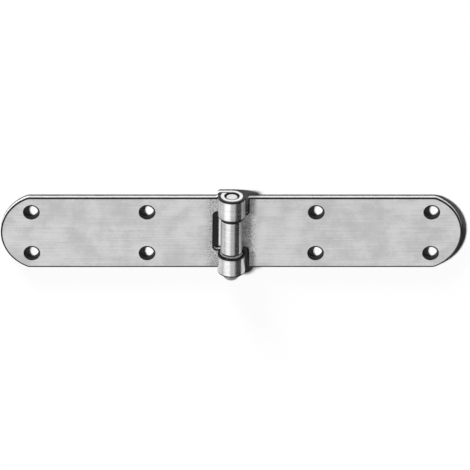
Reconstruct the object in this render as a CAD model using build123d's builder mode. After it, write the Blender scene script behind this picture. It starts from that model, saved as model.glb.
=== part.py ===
from build123d import *
from math import asin, degrees
import os

# Chest hinge of rolled sheet steel: two long strap leaves that turn on one round-headed pin.
# The left leaf carries the top and bottom eyes, the right leaf carries the centre eye between them.
# The hinge lies open and flat on its mounting faces. X runs along the leaves, Y runs up the pin and
# Z points out of the mounting plane. The origin is under the pin's axis, at mid-width of the leaves.
# All sizes are in millimetres.

# Strap leaves
leaf_reach = 100.0  # from the pin's axis to the tip of the rounded end
leaf_width = 35.0
sheet = 3.0
end_flattening = 5.6  # the rounded end is one arc, this much shallower than a half circle
end_blend = 4.0  # softens the corners between that arc and the straight edges

# Screw holes, two by two in each leaf
hole_diameter = 5.8
inner_hole_reach = 36.6  # from the pin's axis to the nearer pair
outer_hole_inset = 13.4  # from the tip to the outer pair
hole_edge_inset = 7.25  # from the straight edges to both pairs

# Pin
pin_diameter = 5.9
pin_clearance = 0.05  # radial, between the shank and the eyes
pin_recess = 0.4  # the plain end lies this far inside the top eye
pin_chamfer = 0.5
grip_length = 6.0  # swelled band under the head, which grips the bottom eye
head_diameter = 8.2
head_height = 4.2
head_rim = 0.7  # straight side of the head, below its dome

# Eyes of the barrel
top_eye_rise = 2.6  # the top eye stands this far past the leaf's upper edge
top_eye_length = 10.0
bottom_eye_length = 9.1
eye_gap = 0.7  # along the pin, between neighbouring eyes
centre_eye_wall = 1.8  # the centre tongue is thinned from behind before it is rolled
seam_gap = 0.25  # between the end of a rolled tongue and the front of its own leaf

# Room around the eyes
slot_clearance = 1.6  # from the barrel to the end of the left leaf's slot
shoulder_clearance = 1.1  # from the barrel to the right leaf's shoulders
slot_corner = 1.5
shoulder_corner = 1.2
shoulder_outer_corner = 0.8
rise_corner = 0.9  # where the top tongue steps past the leaf's upper edge

# Places that follow from those sizes
bore_radius = pin_diameter / 2 + pin_clearance
eye_radius = bore_radius + sheet
centre_eye_radius = bore_radius + centre_eye_wall
pin_height = eye_radius  # the outer eyes touch the mounting plane, as the straps do
leaf_top = leaf_width / 2
leaf_bottom = -leaf_top
end_bow = leaf_top - end_flattening
end_radius = (leaf_top**2 + end_bow**2) / (2 * end_bow)
outer_hole_reach = leaf_reach - outer_hole_inset
hole_pitch_along = outer_hole_reach - inner_hole_reach
hole_pitch_across = leaf_width - 2 * hole_edge_inset
barrel_top = leaf_top + top_eye_rise
barrel_bottom = leaf_bottom
slot_top = barrel_top - top_eye_length
slot_bottom = barrel_bottom + bottom_eye_length
centre_eye_top = slot_top - eye_gap
centre_eye_bottom = slot_bottom + eye_gap
slot_reach = eye_radius + slot_clearance
shoulder_reach = eye_radius + shoulder_clearance
thinning = sheet - centre_eye_wall
head_radius = head_diameter / 2
dome_rise = head_height - head_rim
dome_radius = (head_radius**2 + dome_rise**2) / (2 * dome_rise)


# Both leaves are drawn to the right of the pin. The left one is mirrored when it is complete.


def draw_strap(root_reach):
    """Draws the strap in the open sketch, from root_reach to its rounded end."""
    arc_reach = leaf_reach - end_bow
    with BuildLine() as outline:
        sides = Polyline(
            (arc_reach, leaf_bottom),
            (root_reach, leaf_bottom),
            (root_reach, leaf_top),
            (arc_reach, leaf_top),
        )
        RadiusArc(sides @ 0, sides @ 1, -end_radius)
    make_face(outline.line)
    fillet([corner(arc_reach, leaf_bottom), corner(arc_reach, leaf_top)], end_blend)


def draw_tongue(reach, bottom, top):
    """Draws the flat of a tongue in the open sketch, from under the pin's axis out to reach."""
    with Locations((0, bottom)):
        Rectangle(reach, top - bottom, align=(Align.MIN, Align.MIN))


def corner(reach, height):
    """Finds the corner of the open sketch at that reach from the pin's axis and that height along it."""
    return vertices().sort_by_distance((reach, height))[0]


def drill_screw_holes():
    """Drills the four screw holes through the strap."""
    with Locations(((inner_hole_reach + outer_hole_reach) / 2, 0, sheet)):
        with GridLocations(hole_pitch_along, hole_pitch_across, 2, 2):
            Hole(hole_diameter / 2)


def add_eye(outer_radius, bottom, top):
    """Adds the eye that a tongue rolls into, up behind the pin, over it and back to its own leaf.

    The tongue's end is cut to lie flat along the leaf, so its inside rolls on further than its outside.
    """
    under_pin = -90
    three_quarter_turn = -270
    drop = pin_height - sheet - seam_gap
    outside_roll = three_quarter_turn - degrees(asin(drop / outer_radius))
    inside_roll = three_quarter_turn - degrees(asin(drop / bore_radius))
    with BuildSketch(Plane.XZ.offset(-top)) as section:
        with BuildLine():
            outside = CenterArc((0, pin_height), outer_radius, under_pin, outside_roll)
            inside = CenterArc((0, pin_height), bore_radius, under_pin, inside_roll)
            Line(outside @ 0, inside @ 0)
            Line(outside @ 1, inside @ 1)
        make_face()
    extrude(section.sketch, amount=top - bottom)


with BuildPart() as left_leaf:
    with BuildSketch():
        draw_strap(slot_reach)
        draw_tongue(slot_reach, slot_top, leaf_top)
        draw_tongue(eye_radius, leaf_top, barrel_top)
        draw_tongue(slot_reach, leaf_bottom, slot_bottom)
        fillet([corner(slot_reach, slot_bottom), corner(slot_reach, slot_top)], slot_corner)
        fillet([corner(eye_radius, leaf_top), corner(eye_radius, barrel_top)], rise_corner)
    extrude(amount=sheet)
    drill_screw_holes()
    add_eye(eye_radius, slot_top, barrel_top)
    add_eye(eye_radius, barrel_bottom, slot_bottom)
    mirror(about=Plane.YZ, mode=Mode.REPLACE)

with BuildPart() as right_leaf:
    with BuildSketch():
        draw_strap(shoulder_reach)
        draw_tongue(shoulder_reach, centre_eye_bottom, centre_eye_top)
        fillet(
            [corner(shoulder_reach, centre_eye_bottom), corner(shoulder_reach, centre_eye_top)],
            shoulder_corner,
        )
        fillet(
            [corner(shoulder_reach, leaf_bottom), corner(shoulder_reach, leaf_top)],
            shoulder_outer_corner,
        )
    extrude(amount=sheet)
    # The tongue is thinned from behind, with a ramp at its root.
    with BuildSketch(Plane.XZ):
        with BuildLine():
            Polyline(
                (0, 0),
                (shoulder_reach, 0),
                (shoulder_reach - thinning, thinning),
                (0, thinning),
                close=True,
            )
        make_face()
    extrude(amount=leaf_top, both=True, mode=Mode.SUBTRACT)
    drill_screw_holes()
    add_eye(centre_eye_radius, centre_eye_bottom, centre_eye_top)

with BuildPart() as pin:
    # Half section, revolved about the pin's axis: the domed head, the grip band and the shank.
    with BuildSketch(Plane.XY.offset(pin_height)):
        with BuildLine():
            stem = Polyline(
                (head_radius, barrel_bottom - head_rim),
                (head_radius, barrel_bottom),
                (bore_radius, barrel_bottom),
                (bore_radius, barrel_bottom + grip_length),
                (pin_diameter / 2, barrel_bottom + grip_length + pin_clearance),
                (pin_diameter / 2, barrel_top - pin_recess - pin_chamfer),
                (pin_diameter / 2 - pin_chamfer, barrel_top - pin_recess),
                (0, barrel_top - pin_recess),
                (0, barrel_bottom - head_height),
            )
            RadiusArc(stem @ 0, stem @ 1, dome_radius)
        make_face()
    revolve(axis=Axis((0, 0, pin_height), (0, 1, 0)))

pieces = {"left_leaf": left_leaf, "right_leaf": right_leaf, "pin": pin}
os.makedirs("parts", exist_ok=True)
for name, piece in pieces.items():
    piece.part.label = name
    export_step(piece.part, f"parts/{name}.step")
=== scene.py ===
"""Looks of a chest hinge: two zinc-plated strap leaves whose rolled eyes turn on one round-headed pin.

The leaves lie open on the floor. X runs along them, Y runs up the pin and Z points away from the floor.
Every length is in metres.
"""

import logging
import math
from dataclasses import dataclass
from enum import Enum

import bmesh
import bpy
from mathutils import Matrix, Vector


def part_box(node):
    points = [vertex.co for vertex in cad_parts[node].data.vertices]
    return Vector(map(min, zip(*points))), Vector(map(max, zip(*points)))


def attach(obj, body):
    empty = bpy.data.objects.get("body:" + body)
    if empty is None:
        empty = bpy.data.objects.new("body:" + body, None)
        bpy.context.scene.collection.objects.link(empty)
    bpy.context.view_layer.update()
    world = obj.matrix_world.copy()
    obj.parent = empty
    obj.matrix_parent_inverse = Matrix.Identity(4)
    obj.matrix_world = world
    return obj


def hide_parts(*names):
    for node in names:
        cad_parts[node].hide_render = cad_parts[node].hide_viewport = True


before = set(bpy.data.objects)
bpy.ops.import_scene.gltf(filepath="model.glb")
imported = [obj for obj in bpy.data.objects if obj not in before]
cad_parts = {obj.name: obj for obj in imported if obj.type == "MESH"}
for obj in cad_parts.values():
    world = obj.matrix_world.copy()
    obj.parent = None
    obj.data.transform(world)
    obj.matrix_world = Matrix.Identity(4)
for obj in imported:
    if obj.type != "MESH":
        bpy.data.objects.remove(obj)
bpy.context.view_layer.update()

MM = 0.001
NOISE_MIDDLE = 0.5  # a noise varies about it, between 0 and 1
LOG = logging.getLogger("chest_hinge")


class Side(Enum):
    """Which way a leaf points from the pin, as the sign of X."""

    LEFT = -1
    RIGHT = 1


class Value:
    """A number that flows through a shader, on which Python arithmetic adds Math nodes."""

    def __init__(self, shader: "Shader", socket: bpy.types.NodeSocket) -> None:
        """Wraps an output socket of one of the shader's nodes."""
        self.shader = shader
        self.socket = socket

    def __add__(self, other: "Value | float") -> "Value":
        """self + other."""
        return self.shader.math("ADD", self, other)

    def __radd__(self, other: float) -> "Value":
        """other + self."""
        return self.shader.math("ADD", other, self)

    def __sub__(self, other: "Value | float") -> "Value":
        """self - other."""
        return self.shader.math("SUBTRACT", self, other)

    def __rsub__(self, other: float) -> "Value":
        """other - self."""
        return self.shader.math("SUBTRACT", other, self)

    def __mul__(self, other: "Value | float") -> "Value":
        """self * other."""
        return self.shader.math("MULTIPLY", self, other)

    def __rmul__(self, other: float) -> "Value":
        """other * self."""
        return self.shader.math("MULTIPLY", other, self)

    def __lt__(self, other: "Value | float") -> "Value":
        """1 where self is the smaller, and 0 elsewhere."""
        return self.shader.math("LESS_THAN", self, other)

    def __abs__(self) -> "Value":
        """The distance of self from 0."""
        return self.shader.math("ABSOLUTE", self)

    def ease(self, low: float, high: float, start: float = 0.0, end: float = 1.0) -> "Value":
        """Eases from start to end as self goes from low to high.

        Args:
            low: where the change starts.
            high: where it is complete.
            start: the result at and before low.
            end: the result at and after high.

        Returns:
            The eased number.
        """
        node = self.shader.node(
            "ShaderNodeMapRange",
            {"interpolation_type": "SMOOTHSTEP"},
            {"Value": self, "From Min": low, "From Max": high, "To Min": start, "To Max": end},
        )
        return Value(self.shader, node.outputs["Result"])


class Shader:
    """The node tree of one material or of the world, emptied and built up node by node."""

    MIX_FACTOR, MIX_FIRST, MIX_SECOND = 0, 6, 7  # a Mix node's sockets when it mixes colours
    MIX_RESULT = 2

    def __init__(self, tree: bpy.types.NodeTree) -> None:
        """Empties the tree."""
        tree.nodes.clear()
        self.tree = tree

    def node(self, kind: str, settings: dict | None = None, inputs: dict | None = None) -> bpy.types.Node:
        """Adds a node.

        Args:
            kind: Blender's name of the node's type.
            settings: the node's own properties, set before its sockets are read.
            inputs: a constant, a socket or a Value for each named or numbered input.

        Returns:
            The new node.
        """
        made = self.tree.nodes.new(kind)
        for name, setting in (settings or {}).items():
            setattr(made, name, setting)
        for name, source in (inputs or {}).items():
            if isinstance(source, Value):
                self.tree.links.new(source.socket, made.inputs[name])
            elif isinstance(source, bpy.types.NodeSocket):
                self.tree.links.new(source, made.inputs[name])
            else:
                made.inputs[name].default_value = source
        return made

    def math(self, operation: str, *terms: "Value | float") -> Value:
        """Adds a Math node on the terms and returns its result."""
        node = self.node("ShaderNodeMath", {"operation": operation}, dict(enumerate(terms)))
        return Value(self, node.outputs[0])

    def blend(self, factor: "Value | float", first: object, second: object) -> bpy.types.NodeSocket:
        """Mixes two colours and returns the colour socket.

        Args:
            factor: 0 for the first colour, 1 for the second.
            first: a colour or a colour socket.
            second: a colour or a colour socket.

        Returns:
            The mixed colour.
        """
        sockets = {self.MIX_FACTOR: factor, self.MIX_FIRST: first, self.MIX_SECOND: second}
        return self.node("ShaderNodeMix", {"data_type": "RGBA"}, sockets).outputs[self.MIX_RESULT]


@dataclass(frozen=True)
class ZincSheet:
    """Zinc plate on rolled steel: neutral grey, satin, with a faint grain along the sheet.

    The rounded edges and the narrow rims beside them are painted dark, as painted shade that lines the
    edges. The sheared walls are bright and matt, and break off dark towards the back of the sheet; the
    walls of the screw holes are painted dark all the way, as painted shade in the recesses. The rolled eyes
    are burnished, and the stretch beside the barrel carries fine dark specks and a faint darkening, painted
    shade beside the barrel.
    """

    colour: tuple[float, float, float, float] = (0.7, 0.7, 0.7, 1.0)
    dull: tuple[float, float, float, float] = (0.55, 0.55, 0.548, 1.0)
    bright: tuple[float, float, float, float] = (0.88, 0.88, 0.88, 1.0)
    dark: tuple[float, float, float, float] = (0.018, 0.018, 0.018, 1.0)
    metallic: float = 0.5
    rolled_metallic: float = 0.95
    wall_metallic: float = 0.3
    roughness: float = 0.36
    rolled_polish: float = 0.12
    wall_matt: float = 0.2
    rolled_from: float = 3.1 * MM  # height above the back, from which the sheet counts as rolled
    rolled_to: float = 3.6 * MM
    grain_scale: tuple[float, float, float] = (30.0, 1500.0, 1.0)
    cloud_scale: float = 120.0
    bloom_scale: float = 900.0
    grain_detail: float = 4.0
    cloud_detail: float = 3.0
    bloom_detail: float = 2.0
    grain_share: float = 0.35
    cloud_share: float = 0.5
    bloom_share: float = 0.15
    dull_to: float = 0.38  # the mixed noises, up to which the plate is dull
    clear_from: float = 0.62
    speck_scale: float = 2400.0
    speck_near: float = 8.0 * MM
    speck_far: float = 14.5 * MM
    speck_least: float = 0.25  # size of the smallest specks, as a share of their spacing
    speck_growth: float = 0.55
    # the specks and the haze beside the barrel are painted shade, darkest nearest to it
    stipple_shade_darkness: float = 0.5
    barrel_shade_haze: float = 0.05
    front_from: float = 2.6 * MM  # depth from the back of the sheet, where its front begins
    front_to: float = 2.9 * MM
    break_from: float = 1.1 * MM  # depth from the back of the sheet, to which the sheared wall is dark
    break_to: float = 1.35 * MM
    break_ragged: float = 0.4 * MM
    edge_shade_share: float = 0.15  # share of the rim's width over which its darkness ends
    blackness: float = 0.97
    grain_roughness: float = 0.10
    cloud_roughness: float = 0.08
    speck_roughness: float = 0.10
    grain_relief: float = 0.6
    bloom_relief: float = 0.3
    speck_relief: float = 0.3
    relief: float = 0.25
    relief_depth: float = 0.03 * MM

    def build(self, name: str) -> bpy.types.Material:
        """Makes the material under that name."""
        material = bpy.data.materials.new(name)
        material.use_nodes = True
        shader = Shader(material.node_tree)
        along = shader.node("ShaderNodeUVMap", {"uv_map": Leaf.UV_NAME}).outputs["UV"]
        place = shader.node("ShaderNodeTexCoord").outputs["Object"]
        axes = shader.node("ShaderNodeSeparateXYZ", inputs={"Vector": place})
        reach = abs(Value(shader, axes.outputs["X"]))
        rolled = Value(shader, axes.outputs["Z"]).ease(self.rolled_from, self.rolled_to)
        wall = self.attribute(shader, Leaf.WALL)
        depth = self.attribute(shader, Leaf.DEPTH)
        grain = self.noise(shader, self.stretched(shader, along, self.grain_scale), self.grain_detail)
        cloud = self.noise(shader, place, self.cloud_detail, self.cloud_scale)
        bloom = self.noise(shader, place, self.bloom_detail, self.bloom_scale)

        patch = cloud * self.cloud_share + grain * self.grain_share + bloom * self.bloom_share
        face = shader.blend(patch.ease(self.dull_to, self.clear_from), self.dull, self.colour)
        near = reach.ease(self.speck_near, self.speck_far, 1.0, 0.0)
        front = near * depth.ease(self.front_from, self.front_to) * (1.0 - wall)
        specks = self.specks(shader, place, front, bloom)
        # painted shade beside the barrel: stippled specks and a faint haze darken the colour there
        barrel_shaded = shader.blend(specks * self.stipple_shade_darkness + front * self.barrel_shade_haze, face, self.dark)
        sheared = shader.blend(wall, barrel_shaded, self.bright)
        blackened = self.blackened(shader, wall, depth, bloom)
        base = shader.blend(blackened * self.blackness, sheared, self.dark)

        metallic = self.metallic + (self.rolled_metallic - self.metallic) * rolled
        metallic = metallic - (metallic - self.wall_metallic) * wall
        metallic = metallic + (1.0 - metallic) * blackened
        rough = self.roughness + self.grain_roughness * (grain - NOISE_MIDDLE)
        rough = rough + self.cloud_roughness * (cloud - NOISE_MIDDLE) + self.speck_roughness * specks
        rough = rough + self.wall_matt * wall - self.rolled_polish * rolled
        height = grain * self.grain_relief + bloom * self.bloom_relief - specks * self.speck_relief
        bump = shader.node(
            "ShaderNodeBump",
            inputs={"Strength": self.relief, "Distance": self.relief_depth, "Height": height},
        )
        surface = shader.node(
            "ShaderNodeBsdfPrincipled",
            inputs={
                "Base Color": base,
                "Metallic": metallic,
                "Roughness": rough,
                "Normal": bump.outputs["Normal"],
            },
        )
        shader.node("ShaderNodeOutputMaterial", inputs={"Surface": surface.outputs["BSDF"]})
        return material

    def specks(
        self, shader: Shader, place: bpy.types.NodeSocket, front: Value, bloom: Value
    ) -> Value:
        """Scatters fine specks, the dark stipple of painted shade beside the barrel, which also roughen and
        dent the surface.

        Args:
            shader: the material's nodes.
            place: the coordinates that the specks keep to.
            front: how thickly they lie.
            bloom: what makes them uneven in size.

        Returns:
            1 in a speck and 0 elsewhere.
        """
        inputs = {"Vector": place, "Scale": self.speck_scale}
        dots = shader.node("ShaderNodeTexVoronoi", {"feature": "F1"}, inputs)
        size = self.speck_least + self.speck_growth * bloom
        return Value(shader, dots.outputs["Distance"]) < front * size

    def blackened(self, shader: Shader, wall: Value, depth: Value, bloom: Value) -> Value:
        """Finds what is dark: the rounded edges and their rims, and the walls of the punched holes, both
        painted dark as shade, and the broken part of the walls.

        Args:
            shader: the material's nodes.
            wall: 1 on the sheared walls.
            depth: the distance from the back of the sheet.
            bloom: what makes the break ragged.

        Returns:
            1 where the surface is dark and 0 elsewhere.
        """
        # painted shade that darkens the rounded edges and their rims
        edge_shade = self.attribute(shader, Leaf.EDGE_SHADE).ease(0.0, self.edge_shade_share)
        # painted shade: the holes' walls are dark all the way through
        hole = self.attribute(shader, Leaf.HOLE)
        ragged = depth + self.break_ragged * (bloom - NOISE_MIDDLE)
        broken = wall * ragged.ease(self.break_from, self.break_to, 1.0, 0.0)
        return 1.0 - (1.0 - edge_shade) * (1.0 - broken) * (1.0 - hole)

    @staticmethod
    def attribute(shader: Shader, name: str) -> Value:
        """Reads one of the leaf's own numbers."""
        node = shader.node("ShaderNodeAttribute", {"attribute_name": name})
        return Value(shader, node.outputs["Fac"])

    @staticmethod
    def stretched(
        shader: Shader, vector: bpy.types.NodeSocket, scale: tuple[float, float, float]
    ) -> bpy.types.NodeSocket:
        """Scales a pattern's coordinates along each axis."""
        node = shader.node("ShaderNodeMapping", inputs={"Vector": vector, "Scale": scale})
        return node.outputs["Vector"]

    @staticmethod
    def noise(
        shader: Shader, vector: bpy.types.NodeSocket, detail: float, scale: float = 1.0
    ) -> Value:
        """Adds a Noise texture and returns its value, which lies between 0 and 1."""
        node = shader.node(
            "ShaderNodeTexNoise", inputs={"Vector": vector, "Scale": scale, "Detail": detail}
        )
        return Value(shader, node.outputs["Fac"])


@dataclass(frozen=True)
class PinSteel:
    """Drawn steel, darker than the zinc, with the faint rings that heading leaves about its axis.

    The plain end is sawn, bright and matt.
    """

    colour: tuple[float, float, float, float] = (0.28, 0.28, 0.28, 1.0)
    dull: tuple[float, float, float, float] = (0.18, 0.18, 0.18, 1.0)
    end: tuple[float, float, float, float] = (0.85, 0.85, 0.85, 1.0)
    roughness: float = 0.33
    end_matt: float = 0.2
    end_metallic: float = 0.3
    ring_scale: tuple[float, float, float] = (60.0, 2600.0, 60.0)
    cloud_scale: float = 260.0
    detail: float = 3.0
    ring_share: float = 0.5
    cloud_share: float = 0.5
    dull_to: float = 0.34  # the mixed noises, up to which the steel is dull
    clear_from: float = 0.62
    ring_roughness: float = 0.14
    cloud_roughness: float = 0.10
    relief: float = 0.2
    relief_depth: float = 0.02 * MM

    def build(self, name: str) -> bpy.types.Material:
        """Makes the material under that name."""
        material = bpy.data.materials.new(name)
        material.use_nodes = True
        shader = Shader(material.node_tree)
        place = shader.node("ShaderNodeTexCoord").outputs["Object"]
        along = ZincSheet.stretched(shader, place, self.ring_scale)
        rings = ZincSheet.noise(shader, along, self.detail)
        cloud = ZincSheet.noise(shader, place, self.detail, self.cloud_scale)
        patch = rings * self.ring_share + cloud * self.cloud_share
        shank = shader.blend(patch.ease(self.dull_to, self.clear_from), self.dull, self.colour)
        sawn = ZincSheet.attribute(shader, HingePin.SAWN)
        base = shader.blend(sawn, shank, self.end)
        rough = self.roughness + self.ring_roughness * (rings - NOISE_MIDDLE)
        rough = rough + self.cloud_roughness * (cloud - NOISE_MIDDLE)
        bump = shader.node(
            "ShaderNodeBump",
            inputs={"Strength": self.relief, "Distance": self.relief_depth, "Height": rings},
        )
        surface = shader.node(
            "ShaderNodeBsdfPrincipled",
            inputs={
                "Base Color": base,
                "Metallic": 1.0 - (1.0 - self.end_metallic) * sawn,
                "Roughness": rough + self.end_matt * sawn,
                "Normal": bump.outputs["Normal"],
            },
        )
        shader.node("ShaderNodeOutputMaterial", inputs={"Surface": surface.outputs["BSDF"]})
        return material


@dataclass(frozen=True)
class HingeSizes:
    """Sizes that the leaves and the pin share, most of them read from the frame."""

    pin_height: float
    eye_radius: float
    centre_eye_radius: float
    leaf_reach: float
    leaf_top: float
    barrel_top: float
    barrel_bottom: float
    head_radius: float
    head_tip: float
    pin_end: float
    sheet: float = 3.0 * MM
    top_eye_length: float = 10.0 * MM
    bottom_eye_length: float = 9.1 * MM
    eye_gap: float = 0.7 * MM
    slot_clearance: float = 1.6 * MM
    shoulder_clearance: float = 1.1 * MM

    @classmethod
    def from_frame(cls) -> "HingeSizes":
        """Reads the sizes from the boxes of the frame's nodes."""
        left_low, left_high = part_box("left_leaf")
        right_low, right_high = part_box("right_leaf")
        pin_low, pin_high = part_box("pin")
        return cls(
            pin_height=left_high.z / 2,
            eye_radius=left_high.x,
            centre_eye_radius=-right_low.x,
            leaf_reach=right_high.x,
            leaf_top=right_high.y,
            barrel_top=left_high.y,
            barrel_bottom=left_low.y,
            head_radius=pin_high.x,
            head_tip=pin_low.y,
            pin_end=pin_high.y,
        )

    @property
    def bore_radius(self) -> float:
        """Inside radius of every eye."""
        return self.eye_radius - self.sheet

    @property
    def slot_top(self) -> float:
        """Where the top eye begins."""
        return self.barrel_top - self.top_eye_length

    @property
    def slot_bottom(self) -> float:
        """Where the bottom eye ends."""
        return self.barrel_bottom + self.bottom_eye_length


class Pen:
    """Draws a closed outline on the XY plane of a mesh, corner by corner."""

    ARC_STEPS = 48
    CORNER_STEPS = 6

    def __init__(self, mesh: bmesh.types.BMesh, x: float, y: float) -> None:
        """Sets the pen down at the outline's first corner."""
        self.mesh = mesh
        self.first = mesh.verts.new((x, y, 0.0))
        self.tip = self.first
        self.rounded: list[tuple[bmesh.types.BMVert, float]] = []

    def round_here(self, radius: float) -> None:
        """Rounds the corner under the pen once the outline is closed."""
        self.rounded.append((self.tip, radius))

    def line_to(self, x: float, y: float, radius: float = 0.0) -> None:
        """Draws a straight edge to a corner, which may be rounded.

        Args:
            x: where the edge ends.
            y: where the edge ends.
            radius: rounding of the corner there, or 0 to leave it sharp.
        """
        drawn = bmesh.ops.extrude_vert_indiv(self.mesh, verts=[self.tip])
        self.tip = drawn["verts"][0]
        self.tip.co = (x, y, 0.0)
        if radius:
            self.round_here(radius)

    def arc_about(self, x: float, y: float, angle: float, steps: int) -> None:
        """Draws an arc from the pen about a centre, anticlockwise by the angle."""
        drawn = bmesh.ops.spin(
            self.mesh,
            geom=[self.tip],
            cent=(x, y, 0.0),
            axis=(0.0, 0.0, 1.0),
            angle=angle,
            steps=steps,
        )
        self.tip = next(part for part in drawn["geom_last"] if isinstance(part, bmesh.types.BMVert))

    def close(self) -> bmesh.types.BMFace:
        """Draws the last edge and rounds the corners that ask for it.

        Returns:
            The face inside the outline.
        """
        self.mesh.edges.new((self.tip, self.first))
        bmesh.ops.contextual_create(self.mesh, geom=self.mesh.edges[:])
        for corner, radius in self.rounded:
            bmesh.ops.bevel(
                self.mesh,
                geom=[corner],
                offset=radius,
                offset_type="OFFSET",
                segments=self.CORNER_STEPS,
                profile=0.5,
                affect="VERTICES",
                material=-1,
            )
        self.mesh.faces.ensure_lookup_table()
        return self.mesh.faces[0]


def with_borders(
    faces: list[bmesh.types.BMFace],
) -> list[bmesh.types.BMFace | bmesh.types.BMEdge | bmesh.types.BMVert]:
    """Lists the faces with their edges and corners, each of them once."""
    borders = {part for face in faces for part in (*face.edges, *face.verts)}
    return [*faces, *borders]


def finish_mesh(mesh: bmesh.types.BMesh, name: str, finish: bpy.types.Material) -> bpy.types.Object:
    """Turns a finished bmesh into a piece, shaded smooth with the large flats kept flat.

    Args:
        mesh: the shape, which is freed.
        name: the piece's name.
        finish: its material.

    Returns:
        The piece, at the origin.
    """
    for face in mesh.faces:
        face.smooth = True
    data = bpy.data.meshes.new(name)
    mesh.to_mesh(data)
    mesh.free()
    data.materials.append(finish)
    piece = bpy.data.objects.new(name, data)
    bpy.context.scene.collection.objects.link(piece)
    weighting = piece.modifiers.new("flat faces stay flat", "WEIGHTED_NORMAL")
    weighting.mode = "FACE_AREA"
    weighting.keep_sharp = True
    piece.visible_diffuse = False  # its gloss throws no patches of light on the floor
    return piece


@dataclass(frozen=True)
class Tongue:
    """One tongue of a leaf, which rolls into an eye of the barrel."""

    bottom: float
    top: float
    wall: float


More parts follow.
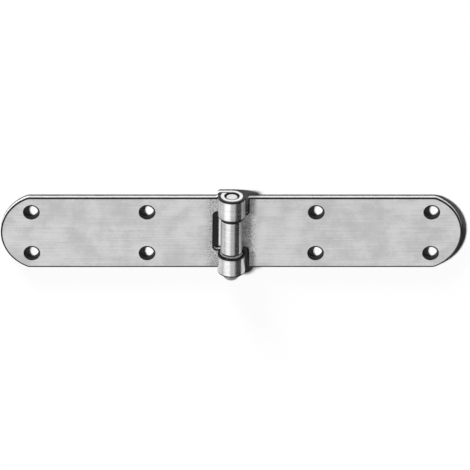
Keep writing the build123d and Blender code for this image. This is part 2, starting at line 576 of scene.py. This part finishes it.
@dataclass
class Leaf:
    """One strap leaf, stamped and rolled from a single sheet.

    It is drawn to the right of the pin, and mirrored at the end if it belongs to the left.
    """

    name: str
    side: Side
    sizes: HingeSizes
    tongues: tuple[Tongue, ...]
    root_reach: float
    finish: bpy.types.Material
    end_flattening: float = 5.6 * MM
    end_blend: float = 4.0 * MM
    hole_radius: float = 2.9 * MM
    inner_hole_reach: float = 36.6 * MM
    outer_hole_inset: float = 13.4 * MM
    hole_edge_inset: float = 7.25 * MM
    ramp_inset: float = 0.25 * MM
    seam_gap: float = 0.25 * MM
    lip: float = 0.1 * MM
    edge_round: float = 0.4 * MM
    rim_width: float = 0.38 * MM

    UV_NAME = "along_sheet"
    EDGE_SHADE = "painted_edge_shade"
    # the rounded edges and their rims, painted dark as shade
    WALL = "sheared_wall"
    # the walls of the screw holes, painted dark as shade in the recesses
    HOLE = "punched_wall"
    DEPTH = "depth_in_sheet"
    HOLE_STEPS = 48
    ROLL_STEPS = 80
    EDGE_STEPS = 3
    SHARP = math.radians(50.0)
    ACROSS = 0.5  # cosine to the sheet's own direction, below which a face lies across the sheet
    TINY = 0.001 * MM
    CRUMB = 0.06 * MM  # corners nearer to each other than this are merged after the rounding

    def build(self) -> bpy.types.Object:
        """Stamps, rolls and finishes the leaf, and puts it on its body in place of its CAD node."""
        mesh = bmesh.new()
        mesh.loops.layers.uv.new(self.UV_NAME)
        for mark in (self.EDGE_SHADE, self.WALL, self.HOLE, self.DEPTH):
            mesh.loops.layers.float.new(mark)
        self.stamp(mesh)
        for tongue in self.tongues:
            self.thin(mesh, tongue)
            self.roll(mesh, tongue)
        bmesh.ops.remove_doubles(mesh, verts=mesh.verts[:], dist=self.TINY)
        bmesh.ops.recalc_face_normals(mesh, faces=mesh.faces[:])
        self.soften_edges(mesh)
        self.mark_surface(mesh)
        if self.side is Side.LEFT:
            bmesh.ops.scale(mesh, vec=(-1.0, 1.0, 1.0), verts=mesh.verts[:])
            bmesh.ops.reverse_faces(mesh, faces=mesh.faces[:])
        piece = finish_mesh(mesh, self.name + "_dressed", self.finish)
        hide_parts(self.name)
        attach(piece, self.name)
        return piece

    def draw_outline(self, mesh: bmesh.types.BMesh) -> bmesh.types.BMFace:
        """Draws the blank's outline, a rim longer than the tongues. Each kind of leaf has its own."""
        raise NotImplementedError

    def draw_end(self, pen: Pen) -> None:
        """Draws the rounded end: one large arc with a small blend into each straight edge."""
        top = self.sizes.leaf_top
        bow = top - self.end_flattening
        radius = (top * top + bow * bow) / (2 * bow)
        middle = self.sizes.leaf_reach - radius
        blend_height = top - self.end_blend
        half_arc = math.asin(blend_height / (radius - self.end_blend))
        blend_reach = middle + blend_height / math.tan(half_arc)
        blend_turn = math.radians(90.0) - half_arc
        pen.line_to(blend_reach, -top)
        pen.arc_about(blend_reach, -blend_height, blend_turn, Pen.CORNER_STEPS)
        pen.arc_about(middle, 0.0, 2 * half_arc, Pen.ARC_STEPS)
        pen.arc_about(blend_reach, blend_height, blend_turn, Pen.CORNER_STEPS)

    @property
    def rim_reach(self) -> float:
        """How far a rim reaches in from the outline, with the round of the edge."""
        return self.edge_round + self.rim_width

    def stamp(self, mesh: bmesh.types.BMesh) -> None:
        """Stamps the flat blank, one sheet thick, with a narrow rim along its outline and holes."""
        blank = self.draw_outline(mesh)
        bmesh.ops.inset_region(
            mesh, faces=[blank], use_boundary=True, use_even_offset=True, thickness=self.rim_reach
        )
        inside = list(blank.edges)
        bmesh.ops.delete(mesh, geom=[blank], context="FACES_ONLY")
        for centre in self.hole_centres():
            inside.extend(self.draw_hole(mesh, centre))
        bmesh.ops.triangle_fill(mesh, use_beauty=True, edges=inside, normal=(0.0, 0.0, 1.0))
        bmesh.ops.bisect_plane(
            mesh,
            geom=mesh.verts[:] + mesh.edges[:] + mesh.faces[:],
            dist=self.TINY,
            plane_co=(0.0, 0.0, 0.0),
            plane_no=(1.0, 0.0, 0.0),
            clear_inner=True,
        )
        raised = bmesh.ops.extrude_face_region(mesh, geom=mesh.faces[:])
        front = [part for part in raised["geom"] if isinstance(part, bmesh.types.BMVert)]
        bmesh.ops.translate(mesh, vec=(0.0, 0.0, self.sizes.sheet), verts=front)
        mesh.normal_update()

    def draw_hole(self, mesh: bmesh.types.BMesh, centre: Vector) -> list[bmesh.types.BMEdge]:
        """Draws a screw hole with the rim round it.

        Args:
            mesh: the blank.
            centre: the hole's centre.

        Returns:
            The outer edges of the rim.
        """
        rings = []
        for radius in (self.hole_radius, self.hole_radius + self.rim_reach):
            circle = bmesh.ops.create_circle(
                mesh, segments=self.HOLE_STEPS, radius=radius, matrix=Matrix.Translation(centre)
            )
            rings.append({edge for vert in circle["verts"] for edge in vert.link_edges})
        bmesh.ops.bridge_loops(mesh, edges=[edge for ring in rings for edge in ring])
        return list(rings[1])

    def hole_centres(self) -> list[Vector]:
        """Lists the centres of the four screw holes, on the back of the leaf."""
        row = self.sizes.leaf_top - self.hole_edge_inset
        columns = (self.inner_hole_reach, self.sizes.leaf_reach - self.outer_hole_inset)
        return [Vector((x, y, 0.0)) for x in columns for y in (-row, row)]

    def thin(self, mesh: bmesh.types.BMesh, tongue: Tongue) -> None:
        """Thins a tongue from behind to its wall, with a ramp at its root."""
        thinning = self.sizes.sheet - tongue.wall
        if thinning < self.TINY:
            return
        ramp_start = self.root_reach - self.ramp_inset
        for ramp_edge in (ramp_start, ramp_start - thinning):
            back = [face for face in mesh.faces if all(vert.co.z < self.TINY for vert in face.verts)]
            bmesh.ops.bisect_plane(
                mesh,
                geom=with_borders(back),
                dist=self.TINY,
                plane_co=(ramp_edge, 0.0, 0.0),
                plane_no=(1.0, 0.0, 0.0),
            )
        for vert in mesh.verts:
            behind = vert.co.z < self.TINY
            if behind and vert.co.x < ramp_start - self.TINY:
                vert.co.z = min(thinning, ramp_start - vert.co.x)

    def roll(self, mesh: bmesh.types.BMesh, tongue: Tongue) -> None:
        """Rolls a tongue up behind the pin, over it and back, with its end cut flat along the leaf."""
        end = [face for face in mesh.faces if self.is_tongue_end(face, tongue)]
        height = self.sizes.pin_height
        cut = self.sizes.sheet + self.seam_gap
        drop = height - cut
        unrolled = set(mesh.verts)
        bmesh.ops.spin(
            mesh,
            geom=with_borders(end),
            cent=(0.0, 0.0, height),
            axis=(0.0, 1.0, 0.0),
            angle=math.radians(270.0) + math.asin(drop / (self.sizes.bore_radius + self.lip)),
            steps=self.ROLL_STEPS,
        )
        for vert in mesh.verts:
            if vert not in unrolled and vert.co.x > 0.0 and vert.co.z < cut:
                vert.co.x *= drop / (height - vert.co.z)
                vert.co.z = cut
        mesh.normal_update()

    def is_tongue_end(self, face: bmesh.types.BMFace, tongue: Tongue) -> bool:
        """Whether the face belongs to the tongue's flat end, under the pin."""
        middle = face.calc_center_median()
        at_end = all(abs(vert.co.x) < self.TINY for vert in face.verts)
        return at_end and tongue.bottom < middle.y < tongue.top

    def soften_edges(self, mesh: bmesh.types.BMesh) -> None:
        """Rounds every sharp edge but the tongues' cut ends, and marks the rounds and the rims beside them,
        which are painted dark as shade.
        """
        sharp = [edge for edge in mesh.edges if edge.calc_face_angle(0.0) > self.SHARP]
        for edge in sharp:
            edge.smooth = not self.is_at_cut(edge)
        sharp = [edge for edge in sharp if edge.smooth]
        softened = bmesh.ops.bevel(
            mesh,
            geom=sharp,
            offset=self.edge_round,
            offset_type="OFFSET",
            segments=self.EDGE_STEPS,
            profile=0.5,
            affect="EDGES",
            material=-1,
        )
        for vert in mesh.verts:
            vert.co.z = max(vert.co.z, 0.0)  # the round dips a hair below where the ramp starts
        bmesh.ops.remove_doubles(mesh, verts=mesh.verts[:], dist=self.CRUMB)
        rounded = {face for face in softened["faces"] if face.is_valid}
        mesh.normal_update()
        edge_shade = mesh.loops.layers.float[self.EDGE_SHADE]
        # painted shade: the rounds and the rims beside them are marked to go dark
        for face in mesh.faces:
            if face in rounded or not self.is_sheared(face):
                for loop in face.loops:
                    loop[edge_shade] = float(not rounded.isdisjoint(loop.vert.link_faces))

    def is_sheared(self, face: bmesh.types.BMFace) -> bool:
        """Whether the face lies across the sheet, where the shear or the punch went through."""
        _, _, through = self.place_in_sheet(face.calc_center_median())
        return abs(face.normal.dot(through)) < self.ACROSS

    def is_at_cut(self, edge: bmesh.types.BMEdge) -> bool:
        """Whether the edge belongs to the cut end of a tongue, just above the front of the leaf."""
        cut = self.sizes.sheet + self.seam_gap
        return all(vert.co.x > 0.0 and abs(vert.co.z - cut) < 2 * self.lip for vert in edge.verts)

    def mark_surface(self, mesh: bmesh.types.BMesh) -> None:
        """Lays the grain's coordinates along the sheet, round the eyes too, and marks the sheared walls."""
        grain = mesh.loops.layers.uv[self.UV_NAME]
        wall = mesh.loops.layers.float[self.WALL]
        hole = mesh.loops.layers.float[self.HOLE]
        depths = mesh.loops.layers.float[self.DEPTH]
        mesh.normal_update()
        for face in mesh.faces:
            sheared = self.is_sheared(face)
            punched = sheared and self.is_in_hole(face.calc_center_median())
            for loop in face.loops:
                along, depth, _ = self.place_in_sheet(loop.vert.co)
                loop[grain].uv = (along, loop.vert.co.y)
                loop[depths] = depth
                loop[wall] = float(sheared)
                loop[hole] = float(punched)

    def is_in_hole(self, point: Vector) -> bool:
        """Whether a point of a sheared wall belongs to a screw hole."""
        reach = self.hole_radius + self.edge_round
        return any((point - centre).xy.length < reach for centre in self.hole_centres())

    def place_in_sheet(self, point: Vector) -> tuple[float, float, Vector]:
        """Finds where a point lay in the sheet before it was rolled.

        Args:
            point: a point of the leaf, drawn to the right of the pin.

        Returns:
            Its distance along the sheet from under the pin, its depth from the sheet's back, and the
            direction through the sheet there.
        """
        if point.x > 0.0 and point.z < self.sizes.sheet + self.seam_gap / 2:
            return point.x, point.z, Vector((0.0, 0.0, 1.0))
        spoke = Vector((point.x, 0.0, point.z - self.sizes.pin_height))
        turn = math.atan2(-spoke.x, -spoke.z) % math.tau
        wall = self.tongues[0].wall
        middle_radius = self.sizes.bore_radius + wall / 2
        depth = self.sizes.bore_radius + wall - spoke.length
        return -turn * middle_radius, depth, spoke.normalized()


class OuterLeaf(Leaf):
    """The leaf with two tongues, which roll into the top and bottom eyes."""

    rise_corner = 0.9 * MM
    slot_corner = 1.5 * MM

    def draw_outline(self, mesh: bmesh.types.BMesh) -> bmesh.types.BMFace:
        """Draws the blank with a slot between its tongues. The top tongue steps past the strap."""
        sizes = self.sizes
        pen = Pen(mesh, -self.rim_reach, -sizes.leaf_top)
        self.draw_end(pen)
        pen.line_to(sizes.eye_radius, sizes.leaf_top, self.rise_corner)
        pen.line_to(sizes.eye_radius, sizes.barrel_top, self.rise_corner)
        pen.line_to(-self.rim_reach, sizes.barrel_top)
        pen.line_to(-self.rim_reach, sizes.slot_top)
        pen.line_to(self.root_reach, sizes.slot_top, self.slot_corner)
        pen.line_to(self.root_reach, sizes.slot_bottom, self.slot_corner)
        pen.line_to(-self.rim_reach, sizes.slot_bottom)
        return pen.close()


class CentreLeaf(Leaf):
    """The leaf with one tongue between two shoulders, which rolls into the centre eye."""

    shoulder_corner = 1.2 * MM
    shoulder_outer_corner = 0.8 * MM

    def draw_outline(self, mesh: bmesh.types.BMesh) -> bmesh.types.BMFace:
        """Draws the blank with its shoulders cut back on both sides of the tongue."""
        top = self.sizes.leaf_top
        tongue = self.tongues[0]
        pen = Pen(mesh, self.root_reach, -top)
        pen.round_here(self.shoulder_outer_corner)
        self.draw_end(pen)
        pen.line_to(self.root_reach, top, self.shoulder_outer_corner)
        pen.line_to(self.root_reach, tongue.top, self.shoulder_corner)
        pen.line_to(-self.rim_reach, tongue.top)
        pen.line_to(-self.rim_reach, tongue.bottom)
        pen.line_to(self.root_reach, tongue.bottom, self.shoulder_corner)
        return pen.close()


@dataclass
class HingePin:
    """The pin: a domed head under the barrel, a grip band, the shank and a chamfered plain end."""

    sizes: HingeSizes
    finish: bpy.types.Material
    clearance: float = 0.05 * MM
    grip_length: float = 6.0 * MM
    head_rim: float = 0.7 * MM
    rim_round: float = 0.25 * MM
    chamfer: float = 0.5 * MM
    chamfer_round: float = 0.2 * MM

    SAWN = "sawn_end"
    END_ON = 0.999  # cosine to the pin's axis, above which a face is the flat of the plain end
    DOME_STEPS = 16
    TURN_STEPS = 80

    def build(self) -> bpy.types.Object:
        """Turns the pin about its axis and puts it on the left leaf's body in place of its CAD node."""
        mesh = bmesh.new()
        section = self.draw_section(mesh)
        bmesh.ops.delete(mesh, geom=[section], context="FACES_ONLY")
        bmesh.ops.spin(
            mesh,
            geom=mesh.verts[:] + mesh.edges[:],
            cent=(0.0, 0.0, 0.0),
            axis=(0.0, 1.0, 0.0),
            angle=math.tau,
            steps=self.TURN_STEPS,
            use_merge=True,
        )
        bmesh.ops.remove_doubles(mesh, verts=mesh.verts[:], dist=Leaf.TINY)
        axis = [edge for edge in mesh.edges if not edge.link_faces]
        bmesh.ops.delete(mesh, geom=axis, context="EDGES")
        bmesh.ops.translate(mesh, vec=(0.0, 0.0, self.sizes.pin_height), verts=mesh.verts[:])
        bmesh.ops.recalc_face_normals(mesh, faces=mesh.faces[:])
        self.mark_end(mesh)
        piece = finish_mesh(mesh, "pin_dressed", self.finish)
        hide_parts("pin")
        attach(piece, "left_leaf")
        return piece

    def mark_end(self, mesh: bmesh.types.BMesh) -> None:
        """Marks the flat of the plain end, which is sawn and left matt."""
        sawn = mesh.loops.layers.float.new(self.SAWN)
        mesh.normal_update()
        for face in mesh.faces:
            for loop in face.loops:
                loop[sawn] = float(face.normal.y > self.END_ON)

    def draw_section(self, mesh: bmesh.types.BMesh) -> bmesh.types.BMFace:
        """Draws half of the pin's long section, beside the Y axis."""
        sizes = self.sizes
        seat = sizes.barrel_bottom
        rise = seat - self.head_rim - sizes.head_tip
        radius = (sizes.head_radius**2 + rise**2) / (2 * rise)
        shank = sizes.bore_radius - self.clearance
        pen = Pen(mesh, 0.0, sizes.head_tip)
        centre = sizes.head_tip + radius
        reach = math.acos((centre - (seat - self.head_rim)) / radius)
        pen.arc_about(0.0, centre, reach, self.DOME_STEPS)
        pen.line_to(sizes.head_radius, seat, self.rim_round)
        pen.line_to(sizes.bore_radius, seat)
        pen.line_to(sizes.bore_radius, seat + self.grip_length)
        pen.line_to(shank, seat + self.grip_length + self.clearance)
        pen.line_to(shank, sizes.pin_end - self.chamfer, self.chamfer_round)
        pen.line_to(shank - self.chamfer, sizes.pin_end, self.chamfer_round)
        pen.line_to(0.0, sizes.pin_end)
        return pen.close()


@dataclass(frozen=True)
class Lamp:
    """One far, soft light: where it lies, how wide it looks from the hinge, and its irradiance."""

    name: str
    towards: tuple[float, float, float]
    spread: float
    strength: float

    def hang(self) -> None:
        """Hangs the lamp, which the metal doesn't mirror."""
        light = bpy.data.lights.new(self.name, "SUN")
        light.angle = self.spread
        light.energy = self.strength
        lamp = bpy.data.objects.new(self.name, light)
        lamp.location = self.towards
        lamp.rotation_euler = Vector(self.towards).to_track_quat("Z", "Y").to_euler()
        lamp.visible_glossy = False
        bpy.context.scene.collection.objects.link(lamp)


@dataclass
class Studio:
    """The pale floor, the soft lights and the camera."""

    key: Lamp = Lamp("key", (-0.63, 0.13, 0.765), math.radians(11.0), 3.9)
    fill: Lamp = Lamp("fill", (-0.36, 0.92, 0.15), math.radians(20.0), 1.0)
    picture: int = 470
    pixels_per_metre: float = 2307.0
    barrel_column: float = 231.5
    face_row: float = 232.75
    face_height: float = 3.0 * MM
    raised: float = math.radians(59.5)
    turned: float = math.radians(-1.8)
    floor_reach: float = 3.0
    floor_drop: float = 0.02 * MM
    floor_white: tuple[float, float, float, float] = (0.99, 0.99, 0.99, 1.0)
    floor_glow: float = 0.01
    card_level: float = 1.9
    card_left: tuple[float, float] = (-0.85, -0.70)  # the world's X, where the card's left side fades in
    card_right: tuple[float, float] = (-0.28, -0.09)
    flag_level: float = 0.02
    flag_left: tuple[float, float] = (0.36, 0.50)
    flag_low: tuple[float, float] = (-0.80, -0.70)  # the world's Y, where the flag's lower side fades in
    flag_high: tuple[float, float] = (-0.30, -0.18)
    sky_level: float = 0.86
    ambient_level: float = 0.015
    lens: float = 400.0
    sensor: float = 36.0

    def build(self) -> None:
        """Sets up the floor, the world, the lamps and the camera."""
        self.lay_floor()
        self.light_world()
        self.key.hang()
        self.fill.hang()
        self.place_camera()
        bpy.context.scene.view_settings.view_transform = "Standard"

    def lay_floor(self) -> None:
        """Lays a wide white floor just under the leaves."""
        mesh = bmesh.new()
        bmesh.ops.create_grid(mesh, x_segments=1, y_segments=1, size=self.floor_reach)
        bmesh.ops.translate(mesh, vec=(0.0, 0.0, -self.floor_drop), verts=mesh.verts[:])
        data = bpy.data.meshes.new("floor")
        mesh.to_mesh(data)
        mesh.free()
        floor = bpy.data.objects.new("floor", data)
        bpy.context.scene.collection.objects.link(floor)
        material = bpy.data.materials.new("white floor")
        material.use_nodes = True
        shader = Shader(material.node_tree)
        paint = shader.node("ShaderNodeBsdfDiffuse", inputs={"Color": self.floor_white})
        seen = shader.math("MAXIMUM", *self.rays(shader))
        glow = shader.node("ShaderNodeEmission", inputs={"Strength": seen * self.floor_glow})
        both = shader.node(
            "ShaderNodeAddShader", inputs={0: paint.outputs[0], 1: glow.outputs[0]}
        )
        shader.node("ShaderNodeOutputMaterial", inputs={"Surface": both.outputs[0]})
        data.materials.append(material)

    @staticmethod
    def rays(shader: Shader) -> tuple[Value, Value]:
        """Tells the rays that look straight or through glass, and the rays that gloss mirrors."""
        path = shader.node("ShaderNodeLightPath")
        camera = Value(shader, path.outputs["Is Camera Ray"])
        through = Value(shader, path.outputs["Is Transmission Ray"])
        return shader.math("MAXIMUM", camera, through), Value(shader, path.outputs["Is Glossy Ray"])

    def light_world(self) -> None:
        """Makes a soft world, white where it is seen, that glossy metal mirrors as a studio.

        A bright card stands at the left, and a dark flag at the right, on the side of the lower edge.
        """
        world = bpy.data.worlds.new("studio")
        bpy.context.scene.world = world
        world.use_nodes = True
        shader = Shader(world.node_tree)
        straight, glossy = self.rays(shader)
        axes = shader.node(
            "ShaderNodeSeparateXYZ",
            inputs={"Vector": shader.node("ShaderNodeTexCoord").outputs["Generated"]},
        )
        across = Value(shader, axes.outputs["X"])
        behind = Value(shader, axes.outputs["Y"])
        card = across.ease(*self.card_right, 1.0, 0.0) * across.ease(*self.card_left)
        studio = self.sky_level + (self.card_level - self.sky_level) * card
        flag = across.ease(*self.flag_left) * behind.ease(*self.flag_low)
        flag = flag * behind.ease(*self.flag_high, 1.0, 0.0)
        mirrored = studio - (studio - self.flag_level) * flag
        lit = glossy * mirrored + (1.0 - glossy) * self.ambient_level
        strength = straight + (1.0 - straight) * lit
        glow = shader.node("ShaderNodeBackground", inputs={"Strength": strength})
        shader.node("ShaderNodeOutputWorld", inputs={"Surface": glow.outputs[0]})

    def place_camera(self) -> None:
        """Looks down on the open hinge from the side of its upper edge, with the leaves level."""
        camera = bpy.data.cameras.new("camera")
        camera.lens = self.lens
        camera.sensor_width = self.sensor
        towards = Vector(
            (
                math.sin(self.turned) * math.cos(self.raised),
                math.cos(self.turned) * math.cos(self.raised),
                math.sin(self.raised),
            )
        )
        right = (Vector((1.0, 0.0, 0.0)) - towards * towards.x).normalized()
        up = towards.cross(right)
        face = Vector((0.0, 0.0, self.face_height))
        half = self.picture / 2
        aside = (half - self.barrel_column) / self.pixels_per_metre
        below = (half - self.face_row) / self.pixels_per_metre
        distance = self.picture / self.pixels_per_metre * self.lens / self.sensor
        place = face + right * aside - up * below + towards * distance
        stand = bpy.data.objects.new("camera", camera)
        turn = Matrix((right, up, towards)).transposed()
        stand.matrix_world = Matrix.Translation(place) @ turn.to_4x4()
        bpy.context.scene.collection.objects.link(stand)
        bpy.context.scene.camera = stand


def main() -> None:
    """Builds the leaves, the pin and the studio in order, and logs each piece's count of faces."""
    logging.basicConfig(level=logging.INFO, format="%(name)s: %(message)s")
    sizes = HingeSizes.from_frame()
    zinc = ZincSheet().build("zinc plated sheet")
    steel = PinSteel().build("pin steel")
    outer_wall = sizes.sheet
    centre_wall = sizes.centre_eye_radius - sizes.bore_radius
    pieces = (
        OuterLeaf(
            name="left_leaf",
            side=Side.LEFT,
            sizes=sizes,
            tongues=(
                Tongue(sizes.barrel_bottom, sizes.slot_bottom, outer_wall),
                Tongue(sizes.slot_top, sizes.barrel_top, outer_wall),
            ),
            root_reach=sizes.eye_radius + sizes.slot_clearance,
            finish=zinc,
        ),
        CentreLeaf(
            name="right_leaf",
            side=Side.RIGHT,
            sizes=sizes,
            tongues=(
                Tongue(sizes.slot_bottom + sizes.eye_gap, sizes.slot_top - sizes.eye_gap, centre_wall),
            ),
            root_reach=sizes.eye_radius + sizes.shoulder_clearance,
            finish=zinc,
        ),
        HingePin(sizes=sizes, finish=steel),
    )
    for piece in pieces:
        made = piece.build()
        LOG.info("%s has %d faces", made.name, len(made.data.polygons))
    Studio().build()


if __name__ == "__main__":
    main()
